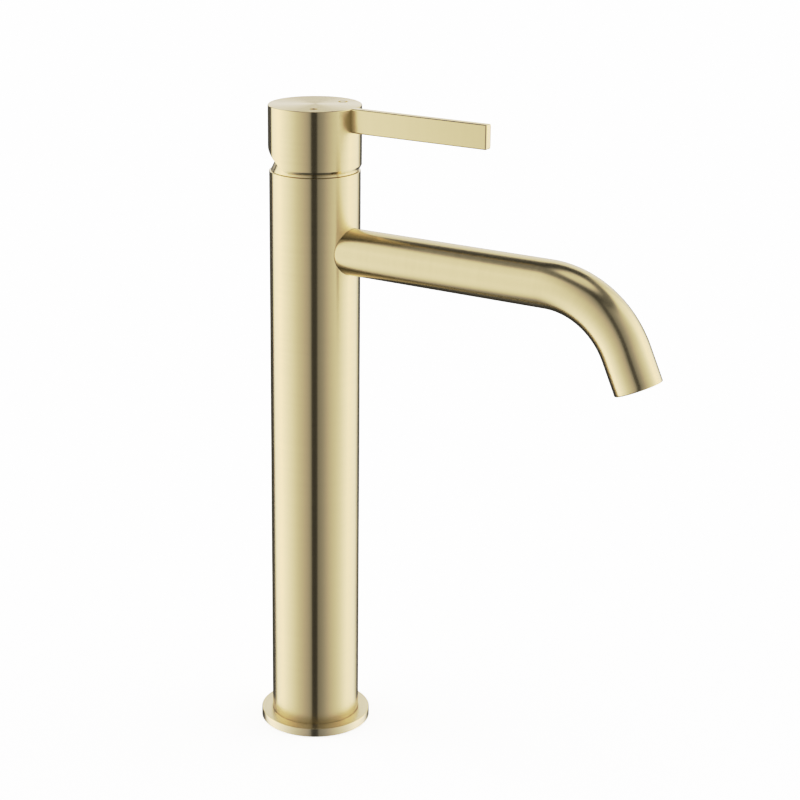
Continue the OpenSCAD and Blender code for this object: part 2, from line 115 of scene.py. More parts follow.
class Tree:
    """A node tree that is filled by calls of add()."""

    def __init__(self, nodes):
        self.nodes = nodes
        nodes.nodes.clear()

    def add(self, kind, settings=None, inputs=None, output=0):
        """Adds a node with its settings and inputs, and returns one of its outputs."""
        node = self.nodes.nodes.new(kind)
        for name, value in (settings or {}).items():
            if name == "stops":
                set_stops(node.color_ramp, value)
            else:
                setattr(node, name, value)
        for key, value in (inputs or {}).items():
            if isinstance(value, Value):
                self.nodes.links.new(value.socket, node.inputs[key])
            else:
                node.inputs[key].default_value = value
        return Value(self, node.outputs[output]) if node.outputs else node

    def place(self):
        """The point being shaded, in the piece's own frame."""
        return self.add("ShaderNodeTexCoord", output="Object")

    def split(self, vector):
        x = self.add("ShaderNodeSeparateXYZ", inputs={0: vector})
        return x, x.out("Y"), x.out("Z")

    def join(self, x, y, z):
        return self.add("ShaderNodeCombineXYZ", inputs={0: x, 1: y, 2: z})

    def blend(self, factor, first, second):
        """The colour first where factor is 0, and second where it is 1."""
        colours = {"Factor": factor, MIX_FIRST: first, MIX_SECOND: second}
        return self.add("ShaderNodeMix", {"data_type": "RGBA"}, colours, MIX_COLOUR)

    def noise(self, vector, scale=1.0, detail=2.0):
        return self.add("ShaderNodeTexNoise", inputs={"Vector": vector, "Scale": scale, "Detail": detail})

    def gather(self, parts):
        """Joins geometries into one."""
        joined = self.add("GeometryNodeJoinGeometry")
        for part in parts:
            self.nodes.links.new(part.socket, joined.socket.node.inputs[0])
        return joined


def set_stops(ramp, stops):
    """Fills a colour ramp with (position, grey or colour) stops."""
    while len(ramp.elements) > 1:
        ramp.elements.remove(ramp.elements[-1])
    for index, (position, shade) in enumerate(stops):
        element = ramp.elements[0] if index == 0 else ramp.elements.new(position)
        element.position = position
        colour = shade if isinstance(shade, tuple) else (shade, shade, shade)
        element.color = (*colour, 1)


# ---------------------------------------------------------------- finishes

def finish_of(name, base, metallic, roughness, pattern, **constants):
    """A material whose colour, roughness and bump come from the pattern of its finish."""
    material = bpy.data.materials.new(name)
    material.use_nodes = True
    tree = Tree(material.node_tree)
    colour, rough, height, depth = pattern(tree, base, roughness)
    bump = tree.add("ShaderNodeBump", inputs={"Strength": 1.0, "Distance": depth, "Height": height})
    inputs = {"Base Color": colour, "Roughness": rough, "Normal": bump, "Metallic": metallic, **constants}
    surface = tree.add("ShaderNodeBsdfPrincipled", inputs=inputs)
    tree.add("ShaderNodeOutputMaterial", inputs={"Surface": surface})
    return material


def shade(colour, amount):
    """The colour made lighter or darker by a share."""
    return tuple(min(1.0, part * (1 + amount)) for part in colour[:3]) + (1.0,)


# How fast the noise of a brushing line changes along it and across it, and the middle of a noise's range.
ALONG_LINE = 30.0
ACROSS_LINE = 900.0
MIDDLE = 0.5


def grain_round_axis(tree):
    """A place on the grain of a piece turned about Z: the lines run round the axis on walls and flats."""
    x, y, z = tree.split(tree.place())
    radius = (x * x + y * y).math("SQRT")
    return x * ALONG_LINE, y * ALONG_LINE, (z + radius) * ACROSS_LINE


def grain_along_sweep(tree):
    """A place on the bent spout's grain: the lines run round the tube, whose length is stored on the mesh."""
    _, y, z = tree.split(tree.place())
    along = tree.add("ShaderNodeAttribute", {"attribute_name": "along"}, output="Fac")
    return y * ALONG_LINE, z * ALONG_LINE, along * ACROSS_LINE


def grain_upright(tree):
    """A place on the bar lever's grain: the lines run up and down its sides and across its top."""
    x, y, z = tree.split(tree.place())
    return z * ALONG_LINE, y * ALONG_LINE, x * ACROSS_LINE


def brushed(grain, depth):
    """Fine satin lines from a brush, with slow changes of tone and gloss."""
    finer, slower, slowest = 4, 0.6, 0.02
    broad_share, cloud_share = 0.7, 0.3
    tone, broad_gloss, cloud_gloss = 0.05, 0.05, 0.03

    def pattern(tree, base, roughness):
        a, b, c = grain(tree)
        fine = tree.noise(tree.join(a * finer, b * finer, c * finer), detail=3.0)
        broad = tree.noise(tree.join(a, b, c * slower))
        cloud = tree.noise(tree.join(a, b, c * slowest), detail=1.0)
        mixed = broad * broad_share + cloud * cloud_share
        colour = tree.blend(mixed, shade(base, -tone), shade(base, tone))
        rough = roughness + (broad - MIDDLE) * broad_gloss + (cloud - MIDDLE) * cloud_gloss
        return colour, rough, fine, depth

    return pattern


def turned_bare(tree, base, roughness):
    """Uncoated turned metal: tool lines, dull patches and a little darkening."""
    longer, closer = 0.3, 1.5
    patch_scale, clean, dull = 90.0, 0.45, 0.7
    share, darker, duller, line_gloss = 0.5, -0.25, 0.15, 0.05
    line_depth = 0.01 * MM
    a, b, c = grain_round_axis(tree)
    lines = tree.noise(tree.join(a * longer, b * longer, c * closer), detail=1.0)
    patches = tree.noise(tree.place(), patch_scale, detail=4.0)
    tarnish = patches.step(clean, dull)
    colour = tree.blend(tarnish * share, base, shade(base, darker))
    return colour, roughness + tarnish * duller + lines * line_gloss, lines, line_depth


def drawn(tree, base, roughness):
    """Drawn tube: faint lines along its length and warm patches."""
    across, along = 2200, 25
    patch_scale, clean, dull = 60.0, 0.4, 0.75
    darker, duller = -0.3, 0.12
    line_depth = 0.004 * MM
    place = tree.place()
    x, y, z = tree.split(place)
    lines = tree.noise(tree.join(x * across, y * across, z * along))
    patches = tree.noise(place, patch_scale, detail=3.0)
    colour = tree.blend(patches.step(clean, dull), base, shade(base, darker))
    return colour, roughness + patches * duller, lines, line_depth


def plated(tree, base, roughness):
    """Bright plating: nearly even, with very faint polishing waves."""
    wave_scale, haze_scale = 350.0, 120.0
    darker, lighter, duller = -0.04, 0.03, 0.05
    wave_depth = 0.002 * MM
    place = tree.place()
    waves = tree.noise(place, wave_scale)
    haze = tree.noise(place, haze_scale, detail=3.0)
    colour = tree.blend(haze, shade(base, darker), shade(base, lighter))
    return colour, roughness + haze * duller, waves, wave_depth


def moulded(tree, base, roughness):
    """Moulded plastic or rubber: a fine grain, a slow drift of tone and faint flow marks."""
    grain_scale, drift_scale = 2500.0, 70.0
    darker, lighter, grain_gloss, drift_gloss = -0.08, 0.06, 0.15, 0.05
    grain_depth = 0.01 * MM
    place = tree.place()
    grain = tree.noise(place, grain_scale)
    drift = tree.noise(place, drift_scale, detail=3.0)
    colour = tree.blend(drift, shade(base, darker), shade(base, lighter))
    rough = roughness + (grain - MIDDLE) * grain_gloss + drift * drift_gloss
    return colour, rough, grain, grain_depth


def lapped(tree, base, roughness):
    """Lapped ceramic: glassy, with pinpoint pores."""
    pore_scale, pit_centre, pit_rim = 1400.0, 0.05, 0.16
    share, darker, duller = 0.4, -0.2, 0.3
    pore_depth = 0.003 * MM
    pores = tree.add("ShaderNodeTexVoronoi", inputs={"Vector": tree.place(), "Scale": pore_scale})
    pits = 1 - pores.step(pit_centre, pit_rim)
    colour = tree.blend(pits * share, base, shade(base, darker))
    return colour, roughness + pits * duller, 1 - pits, pore_depth


METAL, NOT_METAL = 1.0, 0.0
BRASS = (0.675, 0.556, 0.318)
PALE_BRASS = (0.7, 0.595, 0.385)
ROUND_BRUSHING = {"Anisotropic": 1.0, "Anisotropic Rotation": 0.25}
SHALLOW = 0.002 * MM
DEEP = 0.006 * MM

# Each finish has a name, a base colour, metal or not, a roughness and a pattern.
FINISHES = {
    "brushed_brass": finish_of(
        "brushed_brass", BRASS, METAL, 0.215, brushed(grain_round_axis, SHALLOW), **ROUND_BRUSHING
    ),
    "bare_brass": finish_of("bare_brass", (0.72, 0.52, 0.22, 1), METAL, 0.26, turned_bare),
    "copper": finish_of("copper", (0.80, 0.42, 0.27, 1), METAL, 0.28, drawn),
    "rubber": finish_of("rubber", (0.025, 0.025, 0.027, 1), NOT_METAL, 0.62, moulded),
    "stainless_steel": finish_of("stainless_steel", (0.56, 0.56, 0.57, 1), METAL, 0.27, drawn),
    "chrome": finish_of("chrome", (0.74, 0.74, 0.76, 1), METAL, 0.06, plated),
    "white_plastic": finish_of("white_plastic", (0.78, 0.78, 0.75, 1), NOT_METAL, 0.38, moulded),
    "grey_plastic": finish_of("grey_plastic", (0.22, 0.23, 0.25, 1), NOT_METAL, 0.42, moulded),
    "ceramic": finish_of("ceramic", (0.84, 0.83, 0.79, 1), NOT_METAL, 0.08, lapped, **{"Coat Weight": 0.3}),
}
SWEPT_BRASS = finish_of("brushed_brass_spout", BRASS, METAL, 0.2, brushed(grain_along_sweep, DEEP))
FLANGE_BRASS = finish_of(
    "brushed_brass_flange", PALE_BRASS, METAL, 0.24, brushed(grain_round_axis, DEEP), **ROUND_BRUSHING
)
EDGE_BRASS = finish_of("brushed_brass_edge", BRASS, METAL, 0.1, brushed(grain_round_axis, SHALLOW))
LEVER_BRASS = finish_of("brushed_brass_lever", BRASS, METAL, 0.2, brushed(grain_upright, SHALLOW))


# ---------------------------------------------------------------- mesh tools

def arc_at(corner, before, after, radius, steps):
    """Points of the arc that rounds a corner between its two neighbours."""
    p = Vector(corner)
    to_before = (Vector(before) - p).normalized()
    to_after = (Vector(after) - p).normalized()
    half = acos(max(-1.0, min(1.0, to_before.dot(to_after)))) / 2
    centre = p + (to_before + to_after).normalized() * radius / sin(half)
    spokes = [p + side * radius / tan(half) - centre for side in (to_before, to_after)]
    start, end = (atan2(spoke.y, spoke.x) for spoke in spokes)
    sweep = (end - start + pi) % (2 * pi) - pi
    angles = [start + sweep * step / steps for step in range(steps + 1)]
    return [(centre.x + radius * cos(angle), centre.y + radius * sin(angle)) for angle in angles]


def outline_of(corners, steps=5, spacing=None):
    """Turns corners (radius, height, rounding) into points; long edges get a point every spacing."""
    points = []
    count = len(corners)
    for index, corner in enumerate(corners):
        before, after = corners[index - 1], corners[(index + 1) % count]
        rounding = corner[2] if len(corner) > 2 else 0
        if rounding:
            points += arc_at(corner[:2], before[:2], after[:2], rounding, steps)
        else:
            points.append(corner[:2])
    if not spacing:
        return points
    dense = []
    for index, start in enumerate(points):
        end = points[(index + 1) % len(points)]
        parts = max(1, ceil(hypot(end[0] - start[0], end[1] - start[1]) / spacing))
        dense += [tuple(a + (b - a) * part / parts for a, b in zip(start, end)) for part in range(parts)]
    return dense


def object_of(name, shape):
    """Puts a bmesh into a new object with its normals outwards."""
    bmesh.ops.remove_doubles(shape, verts=shape.verts, dist=TINY)
    bmesh.ops.recalc_face_normals(shape, faces=shape.faces)
    mesh = bpy.data.meshes.new(name)
    shape.to_mesh(mesh)
    shape.free()
    piece = bpy.data.objects.new(name, mesh)
    bpy.context.scene.collection.objects.link(piece)
    return piece


def turned(name, corners, around=AROUND, steps=5, spacing=None):
    """A closed solid turned about Z. An outline that touches the axis is closed there by a fan."""
    points = outline_of(corners, steps, spacing)
    shape = bmesh.new()
    turns = [2 * pi * step / around for step in range(around)]
    rings = []
    for radius, height in points:
        if radius < TINY:
            rings.append([shape.verts.new((0, 0, height))] * around)
        else:
            rings.append([shape.verts.new((radius * cos(t), radius * sin(t), height)) for t in turns])
    for index, ring in enumerate(rings):
        after = rings[(index + 1) % len(rings)]
        if ring[0] is ring[1] and after[0] is after[1]:
            continue
        for k in range(around):
            corners_of_face = [ring[k], ring[(k + 1) % around], after[(k + 1) % around], after[k]]
            shape.faces.new(list(dict.fromkeys(corners_of_face)))
    return object_of(name, shape)


def prism(name, outline, depth_from, depth_to, axes):
    """A straight solid: the outline is drawn on the first two axes and runs along the third."""
    shape = bmesh.new()
    ends = []
    for depth in (depth_from, depth_to):
        corners = []
        for a, b in outline:
            place = [0, 0, 0]
            place[axes[0]], place[axes[1]], place[axes[2]] = a, b, depth
            corners.append(shape.verts.new(place))
        ends.append(corners)
        shape.faces.new(corners)
    count = len(outline)
    for k in range(count):
        after = (k + 1) % count
        shape.faces.new([ends[0][k], ends[0][after], ends[1][after], ends[1][k]])
    return object_of(name, shape)


def box_between(name, low, high):
    """A plain cutting block between two corners."""
    outline = [(low[0], low[1]), (high[0], low[1]), (high[0], high[1]), (low[0], high[1])]
    return prism(name, outline, low[2], high[2], (0, 1, 2))


def pin(name, radius, low, high, around=64):
    """A plain cutting pin on the Z axis."""
    return turned(name, [(0, low), (radius, low), (radius, high), (0, high)], around)


def placed(piece, matrix):
    """Puts a place and a turn into the mesh itself."""
    piece.data.transform(matrix)
    return piece


def evaluated_mesh(piece):
    """Keeps the result of the piece's modifiers as its mesh, and takes the modifiers away."""
    bpy.context.view_layer.update()
    graph = bpy.context.evaluated_depsgraph_get()
    mesh = bpy.data.meshes.new_from_object(piece.evaluated_get(graph))
    piece.modifiers.clear()
    piece.data = mesh
    return piece


def combined(piece, others, operation="DIFFERENCE"):
    """Cuts the others away from the piece, or adds them to it, and removes them."""
    for other in others:
        modifier = piece.modifiers.new(other.name, "BOOLEAN")
        modifier.operation = operation
        modifier.solver = "EXACT"
        modifier.object = other
    evaluated_mesh(piece)
    for other in others:
        bpy.data.objects.remove(other)
    return piece


# A face that is less square to the axes than FLAT, and smaller than EDGE_AREA, belongs to a rounded edge.
FLAT = 0.998
EDGE_AREA = 2 * MM * MM


def buff_edges(piece):
    """Gives the narrow rounded edges the brighter finish that buffing leaves on them."""
    piece.data.materials.append(EDGE_BRASS)
    buffed = len(piece.data.materials) - 1
    for face in piece.data.polygons:
        x, y, z = (abs(part) for part in face.normal)
        on_lever = face.center.x > cap_r and face.center.z > cap_foot
        square = max(x, y, z) if on_lever else max(z, hypot(x, y))
        if square < FLAT and face.area < EDGE_AREA:
            face.material_index = buffed


def finished(piece, body, slot, *nodes, finish=None, buffed=False):
    """Shades the piece, gives it its finish, hands it to its body and hides the CAD nodes that it stands for.
    """
    shape = bmesh.new()
    shape.from_mesh(piece.data)
    bmesh.ops.dissolve_degenerate(shape, edges=shape.edges, dist=TINY)
    shape.to_mesh(piece.data)
    shape.free()
    piece.data.shade_smooth()
    piece.data.set_sharp_from_angle(angle=SHARP)
    # An anisotropic finish is brushed round the texture space's centre, which is put on the column's axis.
    piece.data.use_auto_texspace = False
    piece.data.texspace_location = (0, 0, 0)
    piece.data.texspace_size = (column_r, column_r, column_r)
    if not any(piece.data.materials):
        piece.data.materials.clear()
        piece.data.materials.append(finish or FINISHES[slot])
    if buffed:
        buff_edges(piece)
    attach(piece, body)
    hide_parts(*nodes)
    return piece


# ---------------------------------------------------------------- rules (Geometry Nodes)

class Rule:
    """A Geometry Nodes tree with named inputs, which a mesh goes through once."""

    def __init__(self, name, sizes, finish):
        self.group = bpy.data.node_groups.new(name, "GeometryNodeTree")
        sockets = self.group.interface
        self.sizes = sizes
        sockets.new_socket("Geometry", in_out="OUTPUT", socket_type="NodeSocketGeometry")
        sockets.new_socket("Geometry", in_out="INPUT", socket_type="NodeSocketGeometry")
        self.ids = {}
        for key in sizes:
            socket = sockets.new_socket(key, in_out="INPUT", socket_type="NodeSocketFloat")
            self.ids[key] = socket.identifier
        self.tree = Tree(self.group)
        start = self.tree.add("NodeGroupInput")
        self.geometry = start
        self.size = {key: start.out(key) for key in sizes}
        self.finish = finish

    def close(self, geometry):
        """Ends the tree with real geometry that has the finish on it."""
        real = self.tree.add("GeometryNodeRealizeInstances", inputs={0: geometry})
        painted = self.tree.add("GeometryNodeSetMaterial", inputs={"Geometry": real, "Material": self.finish})
        self.tree.add("NodeGroupOutput", inputs={0: painted})

    def run(self, piece):
        """Sends the piece through the rule and keeps the plain result."""
        modifier = piece.modifiers.new(self.group.name, "NODES")
        modifier.node_group = self.group
        for key, value in self.sizes.items():
            modifier[self.ids[key]] = value
        return evaluated_mesh(piece)


def along_path(rule, station):
    """The turn of the spout at a station and the two lengths that the place on its axis needs."""
    bend = rule.size["Bend radius"] * rule.size["Bend angle"]
    straight = rule.size["Straight"]
    in_bend = (station - straight).math("MAXIMUM", 0.0).math("MINIMUM", bend)
    turn = in_bend / rule.size["Bend radius"]
    before = station.math("MINIMUM", straight)
    after = (station - straight - bend).math("MAXIMUM", 0.0)
    return turn, before, after


def spout_rule(sizes, finish):
    """Bends a straight tube on the X axis: straight on, round the bend and straight again."""
    rule = Rule("spout_bend", sizes, finish)
    tree = rule.tree
    x, y, z = tree.split(tree.add("GeometryNodeInputPosition"))
    turn, before, after = along_path(rule, x)
    sine, cosine = turn.math("SINE"), turn.math("COSINE")
    radius = rule.size["Bend radius"]
    forward = before + radius * sine + after * cosine + z * sine
    upward = rule.size["Axis height"] - radius * (1 - cosine) - after * sine + z * cosine
    settings = {"data_type": "FLOAT", "domain": "POINT"}
    length = {"Geometry": rule.geometry, "Name": "along", "Value": x}
    stored = tree.add("GeometryNodeStoreNamedAttribute", settings, length)
    place = tree.join(forward, y, upward)
    rule.close(tree.add("GeometryNodeSetPosition", inputs={"Geometry": stored, "Position": place}))
    return rule


# The rings of jets: how many there are in each, and its share of the plate's radius.
JET_RINGS = ((1, 0.0), (6, 0.28), (12, 0.54), (18, 0.8))
JET_SIDES = 14


def perforation_rule(sizes, finish):
    """Drills rings of small holes right through a disc that lies on Z."""
    rule = Rule("perforations", sizes, finish)
    tree = rule.tree
    hole = {"Vertices": JET_SIDES, "Radius": rule.size["Hole"], "Depth": rule.size["Height"] * 2}
    drill = tree.add("GeometryNodeMeshCylinder", inputs=hole)
    spots = []
    for count, share in JET_RINGS:
        circle = {"Vertices": max(count, 3), "Radius": rule.size["Radius"] * share}
        ring = tree.add("GeometryNodeMeshCircle", inputs=circle)
        if count == 1:
            ring = tree.add("GeometryNodeMergeByDistance", inputs={"Geometry": ring, "Distance": 10 * TINY})
        spots.append(ring)
    joined = tree.gather(reversed(spots))
    drills = tree.add("GeometryNodeInstanceOnPoints", inputs={"Points": joined, "Instance": drill})
    solid = tree.add("GeometryNodeRealizeInstances", inputs={0: drills})
    settings = {"operation": "DIFFERENCE", "solver": "EXACT"}
    drilled = tree.add("GeometryNodeMeshBoolean", settings, {"Mesh 1": rule.geometry, "Mesh 2": solid})
    rule.close(drilled)
    return rule


WIRES_EACH_SIDE = 8
WIRE_POINTS = 64
WIRE_SIDES = 6


def mesh_rule(sizes, finish):
    """Weaves a round wire screen: parallel wires, each bent over and under those that cross it."""
    rule = Rule("woven_screen", sizes, finish)
    tree = rule.tree
    pitch, wire, radius = (rule.size[key] for key in ("Pitch", "Wire", "Radius"))
    wires = []
    for turn, phase in ((0.0, 0.0), (pi / 2, pi)):
        line = tree.add("GeometryNodeCurvePrimitiveLine", inputs={"Start": (-1, 0, 0), "End": (1, 0, 0)})
        spacing = {"Count": 2 * WIRES_EACH_SIDE + 1, "Offset": tree.join(0.0, pitch, 0.0)}
        row = tree.add("GeometryNodeMeshLine", inputs=spacing)
        shift = tree.join(0.0, -WIRES_EACH_SIDE * pitch, 0.0)
        row = tree.add("GeometryNodeSetPosition", inputs={"Geometry": row, "Offset": shift})
        _, across, _ = tree.split(tree.add("GeometryNodeInputPosition"))
        reach = (radius * radius - across * across).math("MAXIMUM", 0.0).math("SQRT")
        copies = {"Points": row, "Instance": line, "Scale": tree.join(reach, 1.0, 1.0)}
        many = tree.add("GeometryNodeInstanceOnPoints", inputs=copies)
        single = tree.add("GeometryNodeRealizeInstances", inputs={0: many})
        fine = tree.add("GeometryNodeResampleCurve", inputs={"Curve": single, "Count": WIRE_POINTS})
        x, across, _ = tree.split(tree.add("GeometryNodeInputPosition"))
        wave = (x / pitch * pi + across / pitch * pi + phase).math("COSINE")
        lift = tree.join(0.0, 0.0, wave * wire)
        lifted = tree.add("GeometryNodeSetPosition", inputs={"Geometry": fine, "Offset": lift})
        section = {"Resolution": WIRE_SIDES, "Radius": wire}
        circle = tree.add("GeometryNodeCurvePrimitiveCircle", inputs=section)
        skin = {"Curve": lifted, "Profile Curve": circle, "Fill Caps": True}
        tube = tree.add("GeometryNodeCurveToMesh", inputs=skin)
        wires.append(tree.add("GeometryNodeTransform", inputs={"Geometry": tube, "Rotation": (0, 0, turn)}))
    rule.close(tree.gather((*wires, rule.geometry)))
    return rule


# ---------------------------------------------------------------- the column and its foot

column_low, column_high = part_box("column_tube")
column_r = column_high.y
column_top = column_high.z
column_wall = 2 * MM
column_bore = column_r - column_wall
spout_low, spout_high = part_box("spout_tube")
spout_r = spout_high.y
spout_axis = spout_high.z - spout_r
SEAM = 0.1 * MM


def column_piece():
    """The column: a turned tube with a soft top edge and the round hole that the spout comes out of."""
    foot = column_low.z
    corners = [
        (column_bore, foot),
        (column_r, foot, 0.15 * MM),
        (column_r, column_top, 0.4 * MM),
        (column_bore, column_top, 0.2 * MM),
    ]
    tube = turned("column", corners)
    drill = pin("spout_hole", spout_r + SEAM, 0, 2 * column_r, around=128)
    placed(drill, Matrix.Translation((0, 0, spout_axis)) @ Matrix.Rotation(pi / 2, 4, "Y"))
    combined(tube, [drill])
    return finished(tube, "column", "brushed_brass", "column_tube", buffed=True)


GASKET_W = 2.6 * MM


def flange_piece():
    """The thin base flange, with the groove under it that holds its gasket."""
    _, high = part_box("base_flange")
    _, gasket_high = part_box("base_gasket")
    rim, top = high.y, high.z
    lip = column_low.z
    seat = column_r + SEAM
    groove_out = gasket_high.y + SEAM
    groove_in = groove_out - GASKET_W - 2 * SEAM
    groove_top = gasket_high.z
    corners = [
        (column_bore, 0),
        (groove_in, 0, 0.1 * MM),
        (groove_in, groove_top),
        (groove_out, groove_top),
        (groove_out, 0, 0.1 * MM),
        (rim, 0, 0.2 * MM),
        (rim, top, 0.4 * MM),
        (seat, top, 0.1 * MM),
        (seat, lip),
        (column_bore, lip),
    ]
    flange = turned("flange", corners)
    return finished(flange, "column", "brushed_brass", "base_flange", finish=FLANGE_BRASS, buffed=True)


def gasket_piece():
    """The flat rubber ring under the flange, with softened edges."""
    _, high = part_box("base_gasket")
    out, thick = high.y, high.z
    inner = out - GASKET_W
    edge = 0.3 * MM
    corners = [(inner, 0, edge), (out, 0, edge), (out, thick, edge), (inner, thick, edge)]
    return finished(turned("gasket", corners), "column", "rubber", "base_gasket")


INLET_X = 3 * MM
INLET_Y = 7.5 * MM
STUD_X = 13 * MM


def foot_plug_piece():
    """The brass plug in the column's foot: two threaded inlets, two stud holes and the tube sockets."""
    _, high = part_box("base_plug")
    edge = 0.4 * MM
    body = turned("foot_plug", [(0, 0), (high.y, 0, edge), (high.y, high.z, edge), (0, high.z)])
    inlet_r, inlet_depth, way_r = 4.5 * MM, 13 * MM, 3 * MM
    socket_r, socket_z = 4.1 * MM, 21 * MM
    stud_r, stud_depth = 2.5 * MM, 16 * MM
    mouth = 0.6 * MM
    holes = []
    for side in (-1, 1):
        way = turned("inlet", [
            (0, -mouth),
            (inlet_r + 2 * mouth, -mouth),
            (inlet_r, mouth),
            (inlet_r, inlet_depth),
            (way_r, inlet_depth),
            (way_r, socket_z),
            (socket_r, socket_z),
            (socket_r, high.z + mouth),
            (0, high.z + mouth),
        ], around=64)
        holes.append(placed(way, Matrix.Translation((INLET_X, side * INLET_Y, 0))))
        stud = turned("stud", [
            (0, -mouth),
            (stud_r + 2 * mouth, -mouth),
            (stud_r, mouth),
            (stud_r, stud_depth),
            (0, stud_depth + stud_r / 2),
        ], around=48)
        holes.append(placed(stud, Matrix.Translation((side * STUD_X, 0, 0))))
    combined(body, holes)
    return finished(body, "column", "bare_brass", "base_plug")


# ---------------------------------------------------------------- the spout and its aerator

SPOUT_WALL = 1.5 * MM
SPOUT_STRAIGHT = 131 * MM
BEND_R = 45 * MM
BEND_ANGLE = radians(66)
SPOUT_TAIL = 17 * MM
spout_bore = spout_r - SPOUT_WALL
spout_start = spout_low.x
spout_end = SPOUT_STRAIGHT + BEND_R * BEND_ANGLE + SPOUT_TAIL


def spout_piece():
    """The spout: a tube with rounded lips, made straight and bent by its rule."""
    corners = [
        (spout_bore, 0, 0.2 * MM),
        (spout_r, 0, 0.3 * MM),
        (spout_r, spout_end - spout_start, 0.5 * MM),
        (spout_bore, spout_end - spout_start, 0.4 * MM),
    ]
    tube = turned("spout", corners, around=128, spacing=1.6 * MM)
    placed(tube, Matrix.Translation((spout_start, 0, 0)) @ Matrix.Rotation(pi / 2, 4, "Y"))
    sizes = {
        "Straight": SPOUT_STRAIGHT,
        "Bend radius": BEND_R,
        "Bend angle": BEND_ANGLE,
        "Axis height": spout_axis,
    }
    spout_rule(sizes, SWEPT_BRASS).run(tube)
    return finished(tube, "column", "brushed_brass", "spout_tube")


def outlet_place(depth):
    """The place inside the spout's mouth at a depth, with +Z pointing out of it."""
    x = SPOUT_STRAIGHT + BEND_R * sin(BEND_ANGLE) + SPOUT_TAIL * cos(BEND_ANGLE)
    z = spout_axis - BEND_R * (1 - cos(BEND_ANGLE)) - SPOUT_TAIL * sin(BEND_ANGLE)
    turn = Matrix.Rotation(pi / 2 + BEND_ANGLE, 4, "Y")
    return Matrix.Translation((x, 0, z)) @ turn @ Matrix.Translation((0, 0, -depth))


AERATOR_DEPTH = 1 * MM
AERATOR_R = spout_bore - SEAM
AERATOR_H = 10 * MM
CORE_INSET = 1.6 * MM
CORE_R = AERATOR_R - CORE_INSET
SCREEN_DEPTH = AERATOR_DEPTH + 2 * MM
KEY_NOTCHES = 6


def aerator_housing_piece():
    """The plated aerator shell, with key notches round its mouth."""
    wall, lip, ledge = 1.4 * MM, 2.4 * MM, 1.2 * MM
    inner, mouth = AERATOR_R - wall, AERATOR_R - lip
    corners = [
        (mouth, 0, 0.3 * MM),
        (AERATOR_R, 0, 0.2 * MM),
        (AERATOR_R, -AERATOR_H, 0.2 * MM),
        (inner, -AERATOR_H),
        (inner, -ledge),
        (mouth, -ledge),
    ]
    shell = turned("aerator_shell", corners, around=144)
    half, depth = 0.9 * MM, 0.9 * MM
    low = (AERATOR_R - depth, -half, -depth)
    high = (AERATOR_R + 2 * half, half, depth)
    notches = []
    for step in range(KEY_NOTCHES):
        notch = box_between("key_notch", low, high)
        notches.append(placed(notch, Matrix.Rotation(2 * pi * step / KEY_NOTCHES, 4, "Z")))
    combined(shell, notches)
    placed(shell, outlet_place(AERATOR_DEPTH))
    return finished(shell, "column", "chrome", "aerator_housing")


def aerator_core_piece():
    """The plastic flow plate with its rings of small holes."""
    thick, hole_r = 4 * MM, 0.55 * MM
    edge = 0.3 * MM
    plate = turned("aerator_plate", [(0, 0), (CORE_R, 0, edge), (CORE_R, thick, edge), (0, thick)], around=96)
    sizes = {"Hole": hole_r, "Radius": CORE_R, "Height": 2 * thick}
    perforation_rule(sizes, FINISHES["white_plastic"]).run(plate)
    placed(plate, outlet_place(AERATOR_DEPTH + AERATOR_H))
    return finished(plate, "column", "white_plastic", "aerator_core")


def aerator_screen_piece():
    """The woven wire screen in its pressed rim."""
    rim_w, wire = 0.7 * MM, 0.11 * MM
    half = 0.35 * MM
    edge = 0.15 * MM
    corners = [
        (CORE_R - rim_w, -half, edge),
        (CORE_R, -half, edge),
        (CORE_R, half, edge),
        (CORE_R - rim_w, half, edge),
    ]
    rim = turned("aerator_mesh", corners, around=96, steps=3)
    sizes = {"Pitch": CORE_R / (WIRES_EACH_SIDE + 0.5), "Wire": wire, "Radius": CORE_R - rim_w / 2}
    mesh_rule(sizes, FINISHES["stainless_steel"]).run(rim)
    placed(rim, outlet_place(SCREEN_DEPTH))
    return finished(rim, "column", "stainless_steel", "aerator_screen")


# ---------------------------------------------------------------- the cap, its lever and what is under it

handle_low, handle_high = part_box("handle")
cap_r = -handle_low.x
cap_foot, cap_top = handle_low.z, handle_high.z
CAP_WALL = 1.5 * MM
CAP_ROOF = 3 * MM
cap_bore = cap_r - CAP_WALL
lever_reach = handle_high.x
LEVER_H = 11.8 * MM
LEVER_W = 4.7 * MM
BOSS_R = 8.5 * MM
BOSS_DROP = 5 * MM
SOCKET_HALF = 4.05 * MM
SOCKET_ROOF = 5.9 * MM
NOTCH_SLOPE = radians(31.3)
NOTCH_RISE = 0.7 * MM
MARK_X = 8 * MM
MARK_Y = 12.6 * MM
MARK_R = 2.4 * MM
MARK_DEPTH = 0.4 * MM
SCREW_R = 2.4 * MM
SCREW_FIT = 0.05 * MM
ACCESS_R = SCREW_R + 0.5 * MM
screw_low, screw_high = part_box("handle_screw")
screw_axis = (screw_low.z + screw_high.z) / 2


def cap_blank():
    """The turned cap: its top, its wall with a bevel at the foot, and the boss inside."""
    roof = cap_top - CAP_ROOF
    boss_foot = screw_axis - BOSS_DROP
    bevel_w, bevel_h = 0.6 * MM, 1.2 * MM
    corners = [
        (0, cap_top),
        (cap_r, cap_top, 0.55 * MM),
        (cap_r, cap_foot + bevel_h, 0.15 * MM),
        (cap_r - bevel_w, cap_foot, 0.1 * MM),
        (cap_bore, cap_foot),
        (cap_bore, roof, 0.5 * MM),
        (BOSS_R, roof, 0.8 * MM),
        (BOSS_R, boss_foot, 0.3 * MM),
        (0, boss_foot),
    ]
    return turned("cap_lever", corners)


